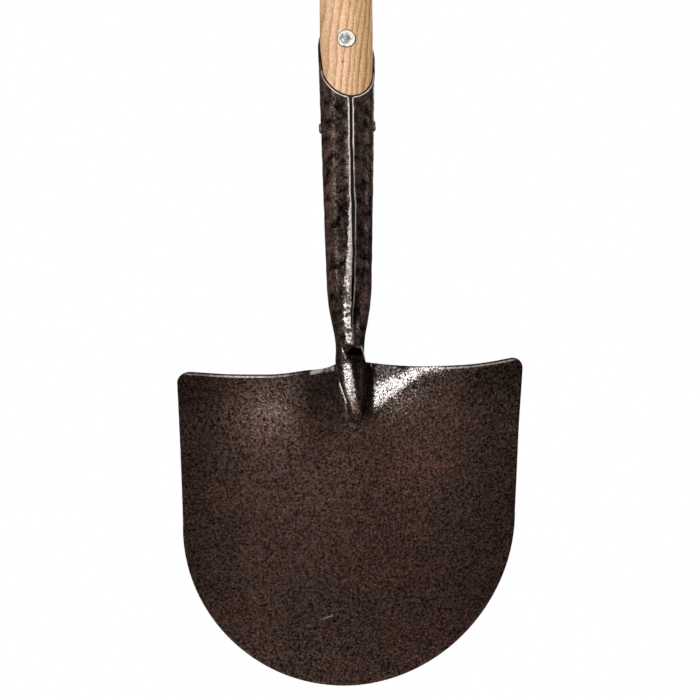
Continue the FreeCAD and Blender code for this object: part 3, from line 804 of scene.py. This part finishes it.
def forged_steel():
    """Brown-black scale under a thin lacquer: mottled and finely pitted, worn bright where it is pressed,
    with painted highlights there and along the edges, painted shade beside the ridge, and painted light and
    shade over the face and socket.
    """
    look = Look("forged_steel")
    mottle = look.noise(38.0, 6.0, 0.62)
    patches = look.noise(11.0, 4.0, 0.6)
    tint = look.noise(95.0, 4.0, 0.65)
    grain = look.noise(820.0, 3.0, 0.65)
    scale = look.noise(300.0, 4.0, 0.65)
    flecks = look.noise(880.0, 2.0, 0.6)
    gloss, wear_and_highlight, painted_shade = (look.attribute(name) for name in ("gloss", "wear_and_highlight", "painted_shade"))
    rise, painted_light_and_tone = look.attribute("rise"), look.attribute("painted_light_and_tone")

    dark, brown, rust = (0.0036, 0.0021, 0.0018), (0.074, 0.034, 0.0240), (0.130, 0.054, 0.037)
    plum, olive = (0.072, 0.0370, 0.0350), (0.078, 0.0490, 0.0235)
    scaled = look.blend(look.span(patches, 0.42, 0.66), brown, rust)
    scaled = look.blend(look.span(tint, 0.46, 0.34), scaled, plum)
    scaled = look.blend(look.span(tint, 0.56, 0.68), scaled, olive)
    fleck = look.product(look.span(grain, 0.46, 0.66), look.span(gloss, 0.0, 1.0, 1.0, 0.55))
    colour = look.blend(fleck, dark, scaled)
    colour = look.blend(look.span(mottle, 0.42, 0.66, 0.0, 0.45), colour, dark)
    bright = look.product(look.span(grain, 0.60, 0.70), look.span(scale, 0.50, 0.62))
    colour = look.blend(look.product(bright, 0.6), colour, (0.26, 0.17, 0.14))
    colour = look.blend(look.span(rise, 4.0, 14.0, 0.0, 0.40), colour, (0.034, 0.0195, 0.0155))
    blotches = look.span(look.noise(120.0, 4.0, 0.65), 0.38, 0.60, 0.12, 1.60)
    blotches = look.product(blotches, look.span(look.noise(36.0, 3.0, 0.6), 0.38, 0.62, 0.70, 1.30))
    on_socket = look.span(rise, 2.0, 12.0)
    blotches = look.plus(look.product(blotches, on_socket), look.minus(1.0, on_socket))
    # Painted light and shade: the colour scaled by the stored pattern, with random blotches on the socket.
    painted_light_and_tone = look.product(painted_light_and_tone, blotches)
    colour = look.times(colour, painted_light_and_tone)
    # Painted shade darkens the ridge's right flank and the hollow beside it.
    colour = look.blend(look.product(painted_shade, 0.7), colour, dark)

    # Painted highlights, partly worn metal: flecks of light metal where the stored mask is high.
    level = look.plus(wear_and_highlight, look.span(mottle, 0.44, 0.66, 0.02, 0.20))
    level = look.minus(level, look.product(painted_shade, 0.3))
    over = look.minus(flecks, look.span(level, 0.0, 1.0, 0.79, 0.43))
    worn_and_highlit = look.product(look.span(over, -0.05, 0.09), look.span(rise, 2.0, 8.0, 1.0, 0.7))
    worn_and_highlit_colour = look.blend(look.span(wear_and_highlight, 0.45, 0.80), (0.44, 0.315, 0.26), (0.54, 0.51, 0.495))
    colour = look.blend(worn_and_highlit, colour, worn_and_highlit_colour)
    # Painted highlights, partly worn metal, along the lips, rim, top edge and folds.
    edge_wear_and_highlight = edge_wear_and_highlights(look, rise)
    colour = look.blend(edge_wear_and_highlight, colour, (0.95, 0.85, 0.81))

    rough = look.minus(look.span(mottle, 0.3, 0.75, 0.28, 0.36), look.product(gloss, 0.10))
    shine = look.span(look.noise(520.0, 3.0, 0.6), 0.42, 0.62, 0.0, 0.70)
    # The shine follows the painted light and is lower under the painted shade.
    shine = look.product(look.product(shine, painted_light_and_tone), look.span(painted_shade, 0.0, 1.0, 1.0, 0.25))
    metal = look.plus(look.product(worn_and_highlit, 0.78), look.product(edge_wear_and_highlight, 0.12))
    look.set(Base_Color=colour, Roughness=rough, Metallic=metal, Specular_IOR_Level=shine)
    look.set(Specular_Tint=look.blend(gloss, (1.0, 0.70, 0.57), (1.0, 0.92, 0.88)), IOR=1.5)
    calm = look.span(rise, 4.0, 20.0, 1.0, 0.45)
    look.bumps([
        (mottle, 0.0009, 0.4),
        (look.product(scale, calm), 0.00034, 0.7),
        (look.product(grain, calm), 0.00026, 0.8),
    ])
    return look.material


# Thin folds on the face, drawn bright as painted highlights on partly worn metal: both ends as (across,
# above the shoulder), half width, strength.
FOLD_HIGHLIGHTS = (
    ((-9.0, -15.0), (-4.4, -30.0), 0.45, 1.0),
    ((-30.0, -7.6), (-12.5, -4.6), 1.30, 0.42),
    ((-4.9, 5.0), (-2.2, -2.6), 0.45, 1.0),
    ((8.8, 7.0), (11.1, -1.5), 0.35, 0.55),
    ((14.4, -0.5), (14.0, -4.5), 0.40, 0.8),
    ((-20.4, -194.0), (-11.8, -191.0), 0.40, 0.20),
)


def edge_wear_and_highlights(look, rise):
    """Painted highlights, partly worn metal, along the seam's lips, the mouth's rim, a line under the
    blade's top edge, and a few folds beside the pocket and ridge.
    """
    from_seam, side = look.attribute("from_seam"), look.attribute("side")
    rough_line = look.noise(420.0, 3.0, 0.6)
    pits = look.span(look.noise(300.0, 3.0, 0.65), 0.47, 0.58, 0.0, 1.0)
    drawn = look.noise(1.0, 3.0, 0.6, look.stretched(900.0, 900.0, 320.0))
    nicks = look.noise(1.0, 2.0, 0.6, look.stretched(260.0, 260.0, 1500.0))
    worked = look.product(look.span(drawn, 0.34, 0.50, 0.55, 1.0), look.span(nicks, 0.36, 0.46, 0.5, 1.0))

    # Painted highlights on the seam's left and right lips, partly worn metal.
    offset = look.minus(rough_line, 0.5)
    ragged = look.product(offset, look.span(rise, 112.0, 74.0, 1.6, 9.0))
    width = look.span(rise, 112.0, 52.0, 1.45, 5.2)
    inside = look.plus(look.minus(width, from_seam), ragged)
    left = look.product(look.span(inside, -0.1, 0.5), look.span(side, 0.1, -0.1))
    pitted = look.higher(pits, look.span(rise, 44.0, 96.0, 0.06, 1.0))
    left = look.product(left, look.product(pitted, worked))

    inside = look.plus(look.minus(0.75, from_seam), look.product(offset, 1.5))
    right = look.product(look.span(inside, -0.1, 0.3), look.span(side, -0.1, 0.1))
    right = look.product(right, look.span(rise, 80.0, 165.0, 0.15, 0.75))
    right = look.product(right, look.span(look.noise(60.0, 2.0, 0.5), 0.35, 0.6, 0.45, 1.0))

    # Painted highlight along the mouth's rounded rim.
    rim = look.maths("ABSOLUTE", look.plus(look.attribute("from_mouth"), 0.45))
    rim = look.product(look.span(rim, 0.55, 0.25), look.span(rough_line, 0.3, 0.5, 0.5, 1.0))
    rim = look.product(rim, look.span(rise, 197.0, 207.0, 1.0, 0.35))

    place = look.add("ShaderNodeSeparateXYZ")
    look.link(look.place, place.inputs["Vector"])
    broken = look.span(rough_line, 0.42, 0.50, 0.15, 1.0)
    edge_wear_and_highlight = look.higher(look.higher(left, right), rim)
    # A painted highlight along a line just under the blade's top edge.
    line = look.maths("ABSOLUTE", look.minus(look.attribute("drop"), 2.1))
    line = look.product(look.span(line, 0.85, 0.35), look.attribute("painted_edge_highlight"))
    edge_wear_and_highlight = look.higher(edge_wear_and_highlight, look.product(line, look.span(rough_line, 0.38, 0.60, 0.35, 1.0)))
    # Painted highlights along the folds.
    for start, end, half_width, strength in FOLD_HIGHLIGHTS:
        mask = stroke(look, place.outputs["X"], rise, start, end, half_width)
        mask = look.product(mask, look.product(broken, strength))
        edge_wear_and_highlight = look.higher(edge_wear_and_highlight, mask)
    return edge_wear_and_highlight


def stroke(look, x, rise, start, end, half_width):
    """1 within a straight stroke of this half width, all in millimetres, and 0 outside it."""
    length = math.hypot(end[0] - start[0], end[1] - start[1])
    ahead = ((end[0] - start[0]) / length, (end[1] - start[1]) / length)
    dx = look.minus(look.maths("DIVIDE", x, MM), start[0])
    dz = look.minus(rise, start[1])
    along = look.plus(look.product(dx, ahead[0]), look.product(dz, ahead[1]))
    across = look.minus(look.product(dx, ahead[1]), look.product(dz, ahead[0]))
    across = look.maths("ABSOLUTE", across)
    ends = look.product(look.span(along, -0.6, 0.6), look.span(along, length + 0.6, length - 0.6))
    return look.product(look.span(across, half_width * 1.5, half_width * 0.6), ends)


# The growth lines: spacing, how far they lean to the right as they rise, and where one starts
# at the strap rivet's level, in metres.
GRAIN_SPACING = 0.0058
GRAIN_LEAN = 0.10
GRAIN_START = -0.0022
GRAIN_LEVEL = (SHOULDER_Z + STRAP_RIVET_RISE) * MM
# The one small knot: across, and above the shoulder
PIN_KNOT = (-0.9, 220.0)


def ash_wood():
    """Ash cut along the grain: growth lines that lean and waver, open pores, golden on one side."""
    look = Look("ash_wood")
    place = look.add("ShaderNodeSeparateXYZ")
    look.link(look.place, place.inputs["Vector"])
    x, y, z = place.outputs
    slow = look.noise(1.0, 2.0, 0.5, look.stretched(40.0, 40.0, 14.0))
    quick = look.noise(1.0, 3.0, 0.6, look.stretched(90.0, 90.0, 26.0))
    slow = look.span(slow, 0.3, 0.7, -0.0016, 0.0016)
    waver = look.plus(slow, look.span(quick, 0.3, 0.7, -0.0006, 0.0006))
    lean = look.product(look.minus(z, GRAIN_LEVEL), GRAIN_LEAN)
    depth = look.plus(look.plus(x, look.product(y, 0.25)), waver)
    depth = look.minus(depth, lean)
    crowded = look.product(look.higher(look.minus(depth, 0.001), 0.0), 0.5)
    depth = look.plus(depth, crowded)
    rings = look.maths("DIVIDE", look.minus(depth, GRAIN_START), GRAIN_SPACING)
    part = look.maths("FRACT", rings)
    chance = look.add("ShaderNodeTexWhiteNoise", noise_dimensions="1D")
    look.link(look.maths("FLOOR", rings), chance.inputs["W"])
    rising = look.maths("POWER", look.span(part, 0.38, 0.88), 1.6)
    late = look.product(rising, look.span(part, 1.0, 0.95))
    late = look.product(late, look.span(chance.outputs["Value"], 0.0, 1.0, 0.55, 1.0))

    fibre = look.noise(1.0, 4.0, 0.6, look.stretched(1900.0, 1900.0, 60.0))
    pores = look.noise(1.0, 3.0, 0.55, look.stretched(1700.0, 1700.0, 190.0))
    speckle = look.noise(1.0, 2.0, 0.6, look.stretched(800.0, 800.0, 560.0))
    streak = look.noise(1.0, 3.0, 0.5, look.stretched(170.0, 170.0, 6.0))
    pale, pink = (0.97, 0.67, 0.43), (0.95, 0.60, 0.43)
    base = look.blend(look.span(streak, 0.38, 0.62), pale, pink)
    warm = look.span(x, -0.004, 0.013)
    base = look.blend(look.product(warm, 0.85), base, (0.82, 0.49, 0.21))
    # Painted shade: darker towards the shaft's left side.
    base = look.blend(look.span(x, -0.005, -0.016, 0.0, 0.75), base, (0.66, 0.41, 0.23))
    line = look.blend(warm, (0.31, 0.135, 0.046), (0.30, 0.108, 0.015))
    glow = look.product(look.span(part, 0.10, 0.85), look.span(part, 1.0, 0.93))
    base = look.blend(look.product(glow, 0.55), base, (0.72, 0.40, 0.15))
    colour = look.blend(look.product(late, 0.95), base, line)
    colour = look.blend(look.span(fibre, 0.44, 0.66, 0.0, 0.42), colour, (0.52, 0.27, 0.13))
    colour = look.blend(look.span(speckle, 0.50, 0.64, 0.0, 0.34), colour, (0.52, 0.25, 0.13))
    colour = look.blend(look.span(speckle, 0.48, 0.36, 0.0, 0.34), colour, (1.0, 0.82, 0.62))
    open_pores = look.product(look.span(pores, 0.56, 0.68), look.span(late, 0.0, 0.6, 0.35, 1.0))
    colour = look.blend(look.product(open_pores, 0.6), colour, (0.24, 0.11, 0.05))
    knots = look.span(look.noise(260.0, 1.0, 0.5), 0.72, 0.76, 0.0, 0.5)
    colour = look.blend(knots, colour, (0.42, 0.20, 0.09))
    # Painted shade over the mouth and round the washer, and the knot's own dark colour.
    for mask in (contact_shade(look, x, y, z), washer_shade(look, x, z), pin_knot(look, x, z)):
        colour = look.blend(mask, colour, (0.030, 0.016, 0.010))
    # Painted shade: near black on the wood below the mouth's edge, seen through the seam.
    colour = look.blend(contact_shade(look, x, y, z, -1.0, -4.0), colour, (0.003, 0.002, 0.0015))
    rough = look.span(fibre, 0.3, 0.7, 0.46, 0.62)
    look.set(Base_Color=colour, Roughness=rough, IOR=1.45, Specular_IOR_Level=0.25)
    look.bumps([(fibre, 0.00010, 0.45), (open_pores, 0.00014, 0.5)])
    return look.material


def contact_shade(look, x, y, z, top=1.9, bottom=1.1):
    """Painted shade on the wood just above the socket's mouth, and on all the wood below it."""
    turn = math.radians(SEAM_TURN + 0.5)
    spread = MOUTH_RADIUS / SHAFT_MOUTH_RADIUS / MM
    back = look.product(x, -math.sin(turn) * spread)
    back = look.plus(back, look.product(y, math.cos(turn) * spread))
    runs = []
    for offset, height, slope in MOUTH_SLOPES:
        runs.append(look.plus(look.product(back, slope), height - slope * offset))
    level = look.higher(runs[0], look.maths("MINIMUM", runs[1], runs[2]))
    rise = look.minus(look.maths("DIVIDE", z, MM), SHOULDER_Z)
    return look.span(look.minus(rise, level), top, bottom)


def washer_shade(look, x, z):
    """Painted shade: a dark ring where the washer is let into the wood."""
    middle = SHAFT_FOOT_RADIUS * math.sin(math.radians(STRAP_RIVET_TURN))
    beside = look.minus(look.maths("DIVIDE", x, MM), middle)
    over = look.minus(look.maths("DIVIDE", z, MM), SHOULDER_Z + STRAP_RIVET_RISE)
    return look.span(look.hypotenuse(beside, over), 7.2, 6.7, 0.0, 0.9)


def pin_knot(look, x, z):
    """One small dark knot low on the front of the shaft."""
    beside = look.product(look.minus(x, PIN_KNOT[0] * MM), 1000.0)
    over = look.product(look.minus(z, (SHOULDER_Z + PIN_KNOT[1]) * MM), 620.0)
    return look.span(look.hypotenuse(beside, over), 0.9, 0.35, 0.0, 0.75)


def plated_metal(name, base, dull, metallic=0.9):
    """A bright plated or worn metal with fine scratches and a little tarnish."""
    look = Look(name)
    tarnish = look.noise(700.0, 4.0, 0.6)
    scratch = look.noise(900.0, 3.0, 0.7, distortion=1.2)
    colour = look.blend(look.span(tarnish, 0.48, 0.66), base, dull)
    rough = look.span(scratch, 0.3, 0.7, 0.24, 0.46)
    look.set(Base_Color=colour, Roughness=rough, Metallic=metallic)
    look.bumps([(tarnish, 0.00018, 0.4), (scratch, 0.00006, 0.4)])
    return look.material


def pale_floor():
    """A pale, faintly clouded floor, with a glow that only the camera sees."""
    look = Look("pale_floor")
    cloud = look.noise(2.5, 3.0, 0.5)
    colour = look.blend(cloud, (0.80, 0.80, 0.79), (0.84, 0.84, 0.83))
    seen = look.product(look.add("ShaderNodeLightPath").outputs["Is Camera Ray"], FLOOR_GLOW)
    look.set(Base_Color=colour, Roughness=0.85, Emission_Color=(1.0, 1.0, 1.0), Emission_Strength=seen)
    return look.material


def dress(piece, material):
    piece.data.materials.clear()
    piece.data.materials.append(material)


def dress_node(name, material):
    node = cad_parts[name]
    if not node.material_slots:
        node.data.materials.append(material)
    for slot in node.material_slots:
        slot.material = material


# ------------------------------------------------------------------ stage

SURROUND_LIGHT = 0.07
FLOOR_GLOW = 0.55
FLOOR_HALF = 9.0
FLOOR_DROP = 1.05

# The camera: its turn, height angle and tilt in degrees, and its distance. In millimetres:
# how much of the shovel's plane the picture takes in, the sensor, and the point aimed at.
CAMERA_YAW = 6.49
CAMERA_PITCH = -16.32
CAMERA_ROLL = 0.66
CAMERA_DISTANCE = 2.2
PICTURE_WIDTH = 501.9
SENSOR_WIDTH = 36.0
AIM_ACROSS = 0.02
AIM_RISE = 5.91

# Each light: name, azimuth, elevation, distance, (width, height), watts
LIGHTS = (
    ("key_light", 10.0, 24.0, 2.6, (0.8, 0.6), 7.5),
    ("low_left_light", -27.0, -3.0, 2.6, (0.7, 1.2), 27.0),
    ("left_light", -56.0, 18.0, 2.6, (0.3, 0.8), 8.0),
    ("right_light", 104.0, 20.0, 2.6, (0.4, 1.0), 2.5),
    ("left_fill", -60.0, -25.0, 2.6, (0.9, 0.9), 20.0),
    ("right_fill", 70.0, -16.0, 2.6, (1.2, 1.2), 24.0),
    ("front_fill", 8.0, -32.0, 2.6, (0.9, 0.5), 16.0),
    ("top_light", 0.0, 76.0, 2.6, (1.2, 1.2), 26.0),
    ("back_left_light", -168.0, 36.0, 3.0, (1.0, 1.4), 15.0),
    ("back_right_light", 168.0, 36.0, 3.0, (1.0, 1.4), 15.0),
)


def direction(azimuth, elevation):
    """Azimuth 0 is in front of the blade's face and grows to the right; elevation is up."""
    a, e = math.radians(azimuth), math.radians(elevation)
    return Vector((math.sin(a) * math.cos(e), -math.cos(a) * math.cos(e), math.sin(e)))


def soft_box(name, azimuth, elevation, distance, size, watts, target):
    data = bpy.data.lights.new(name, "AREA")
    data.shape = "RECTANGLE"
    data.size, data.size_y = size
    data.energy = watts
    light = bpy.data.objects.new(name, data)
    back = direction(azimuth, elevation)
    light.location = target + back * distance
    light.rotation_mode = "QUATERNION"
    light.rotation_quaternion = back.to_track_quat("Z", "Y")
    light.visible_camera = False
    bpy.context.scene.collection.objects.link(light)
    return light


def make_world():
    """A plain pale surround: white behind the object, softer where it lights it."""
    world = bpy.data.worlds.new("surround")
    world.use_nodes = True
    tree = world.node_tree
    tree.nodes.clear()
    seen = tree.nodes.new("ShaderNodeBackground")
    seen.inputs["Color"].default_value = (1.0, 1.0, 1.0, 1.0)
    lit = tree.nodes.new("ShaderNodeBackground")
    lit.inputs["Color"].default_value = (1.0, 1.0, 1.0, 1.0)
    lit.inputs["Strength"].default_value = SURROUND_LIGHT
    path = tree.nodes.new("ShaderNodeLightPath")
    mix = tree.nodes.new("ShaderNodeMixShader")
    out = tree.nodes.new("ShaderNodeOutputWorld")
    tree.links.new(path.outputs["Is Camera Ray"], mix.inputs["Fac"])
    tree.links.new(lit.outputs["Background"], mix.inputs[1])
    tree.links.new(seen.outputs["Background"], mix.inputs[2])
    tree.links.new(mix.outputs["Shader"], out.inputs["Surface"])
    bpy.context.scene.world = world


def make_camera():
    """Low and a little to the right of the face, looking up at the blade, as the picture was taken."""
    yaw, roll = math.radians(CAMERA_YAW), math.radians(CAMERA_ROLL)
    target = Vector((AIM_ACROSS, 0.0, SHOULDER_Z + AIM_RISE)) * MM
    back = direction(CAMERA_YAW, CAMERA_PITCH)
    right = Vector((math.cos(yaw), math.sin(yaw), 0.0))
    up = back.cross(right)
    turned_right = right * math.cos(roll) - up * math.sin(roll)
    turned_up = right * math.sin(roll) + up * math.cos(roll)
    data = bpy.data.cameras.new("camera")
    data.sensor_width = SENSOR_WIDTH
    data.lens = CAMERA_DISTANCE / (PICTURE_WIDTH * MM) * SENSOR_WIDTH
    data.clip_start, data.clip_end = 0.1, 50.0
    camera = bpy.data.objects.new("camera", data)
    axes = Matrix((turned_right, turned_up, back)).transposed().to_4x4()
    camera.matrix_world = Matrix.Translation(target + back * CAMERA_DISTANCE) @ axes
    bpy.context.scene.collection.objects.link(camera)
    bpy.context.scene.camera = camera


def make_floor():
    size = FLOOR_HALF
    level = HEAD_LOW.z - FLOOR_DROP
    corners = [(-size, -size, level), (size, -size, level), (size, size, level), (-size, size, level)]
    floor = mesh_object("floor", corners, [(0, 1, 2, 3)])
    dress(floor, pale_floor())


def make_stage():
    make_camera()
    make_world()
    make_floor()
    target = Vector((0.0, 0.0, SHOULDER_Z * MM))
    for name, azimuth, elevation, distance, size, watts in LIGHTS:
        soft_box(name, azimuth, elevation, distance, size, watts, target)


# ------------------------------------------------------------------ the shovel

def make_shovel():
    forging = make_forging()
    dress(forging, forged_steel())
    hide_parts("forged_head")
    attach(forging, "root")

    washer = make_strap_washer()
    dress(washer, plated_metal("zinc_plate", (0.93, 0.91, 0.84), (0.40, 0.39, 0.35), 0.35))
    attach(washer, "root")

    rivet = make_strap_rivet()
    dress(rivet, plated_metal("peened_steel", (0.46, 0.46, 0.48), (0.34, 0.34, 0.36), 0.6))
    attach(rivet, "root")

    handle = make_shaft()
    dress(handle, ash_wood())
    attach(handle, "root")

    dress_node("side_rivet", plated_metal("darkened_steel", (0.16, 0.13, 0.12), (0.07, 0.055, 0.05)))


bpy.context.scene.view_settings.view_transform = "Standard"
make_stage()
make_shovel()
